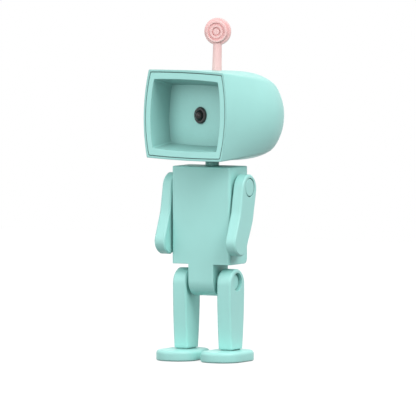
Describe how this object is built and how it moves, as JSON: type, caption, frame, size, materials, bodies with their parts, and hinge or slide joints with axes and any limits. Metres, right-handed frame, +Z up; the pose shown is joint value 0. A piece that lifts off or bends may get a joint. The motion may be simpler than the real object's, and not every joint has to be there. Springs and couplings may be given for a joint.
{
  "type": "robot-shaped night light",
  "caption": "Small robot-shaped battery night light: deep domed lamp head with recessed LED face, push antenna, box torso, swinging arms and legs, rounded feet.",
  "frame": {"origin": "on the ground under the middle of the whole figure in its stored pose", "axes": "+Z up, -Y towards the figure's front, +X to the figure's left. The torso is square to the axes; the head is turned 17.8 degrees to the figure's right and tipped back 1.8 degrees."},
  "size_m": [0.0362, 0.0368, 0.0946],
  "materials": {
    "mint": "smooth satin",
    "face_mint": "smooth satin",
    "pink": "smooth satin",
    "bezel_black": "glossy",
    "led_dark": "clear dark resin",
    "board_green": "solder mask",
    "resistor_beige": "lacquer",
    "switch_black": "moulded",
    "plunger_white": "moulded",
    "tray_grey": "moulded",
    "cell_steel": "nickel plated",
    "spring_steel": "rolled",
    "pin_steel": "turned"
  },
  "bodies": {
    "torso": {"torso_shell": "mint", "torso_back": "mint", "torso_screw_lower": "pin_steel", "torso_screw_upper": "pin_steel", "left_shoulder_pin": "mint", "left_shoulder_clip": "spring_steel", "left_hip_pin": "mint", "right_shoulder_pin": "mint", "right_shoulder_clip": "spring_steel", "right_hip_pin": "mint"},
    "neck": {"neck_post": "mint", "neck_clip": "spring_steel"},
    "head": {"head_shell": "mint", "face_frame": "face_mint", "led_bezel": "bezel_black", "led": "led_dark", "circuit_board": "board_green", "resistor": "resistor_beige", "switch_body": "switch_black", "battery_tray": "tray_grey", "cell_front": "cell_steel", "cell_middle": "cell_steel", "cell_rear": "cell_steel", "contact_front": "spring_steel", "contact_rear": "spring_steel", "neck_pin": "pin_steel"},
    "plunger": {"switch_plunger": "plunger_white"},
    "antenna": {"antenna": "pink", "antenna_clip": "spring_steel"},
    "battery_cap": {"battery_cap": "mint"},
    "left_arm": {"left_arm": "mint"},
    "right_arm": {"right_arm": "mint"},
    "left_leg": {"left_leg": "mint", "left_foot": "mint", "left_foot_screw": "pin_steel"},
    "right_leg": {"right_leg": "mint", "right_foot": "mint", "right_foot_screw": "pin_steel"}
  },
  "joints": [
    {"name": "neck_turn", "type": "hinge", "parent": "torso", "child": "neck", "pos_m": [0.00076, -0.00327, 0.05375], "axis": [0, 0, 1], "range_deg": [-90, 90]},
    {"name": "head_tilt", "type": "hinge", "parent": "neck", "child": "head", "pos_m": [0.00076, -0.00327, 0.05815], "axis": [0.9521, -0.3057, 0], "range_deg": [-3, 6]},
    {"name": "antenna_press", "type": "slide", "parent": "head", "child": "plunger", "axis": [0.0096, 0.0299, 0.9995], "range_m": [-0.0007, 0], "stiffness_N_per_m": 600, "springref_m": 0.001},
    {"name": "antenna_turn", "type": "hinge", "parent": "plunger", "child": "antenna", "pos_m": [0.00131, -0.00157, 0.08006], "axis": [0.0096, 0.0299, 0.9995], "continuous": true},
    {"name": "battery_cap_turn", "type": "hinge", "parent": "head", "child": "battery_cap", "pos_m": [0.00672, 0.01528, 0.06704], "axis": [0.3055, 0.9517, -0.0314], "range_deg": [0, 60]},
    {"name": "left_shoulder_swing", "type": "hinge", "parent": "torso", "child": "left_arm", "pos_m": [0.01186, -0.00492, 0.04805], "axis": [1, 0, 0], "range_deg": [-80, 90]},
    {"name": "right_shoulder_swing", "type": "hinge", "parent": "torso", "child": "right_arm", "pos_m": [-0.01034, -0.00492, 0.04805], "axis": [1, 0, 0], "range_deg": [-80, 90]},
    {"name": "left_hip_swing", "type": "hinge", "parent": "torso", "child": "left_leg", "pos_m": [0.00771, -0.00542, 0.02185], "axis": [1, 0, 0], "range_deg": [-90, 90]},
    {"name": "right_hip_swing", "type": "hinge", "parent": "torso", "child": "right_leg", "pos_m": [-0.00619, -0.00542, 0.02185], "axis": [1, 0, 0], "range_deg": [-90, 90]}
  ]
}
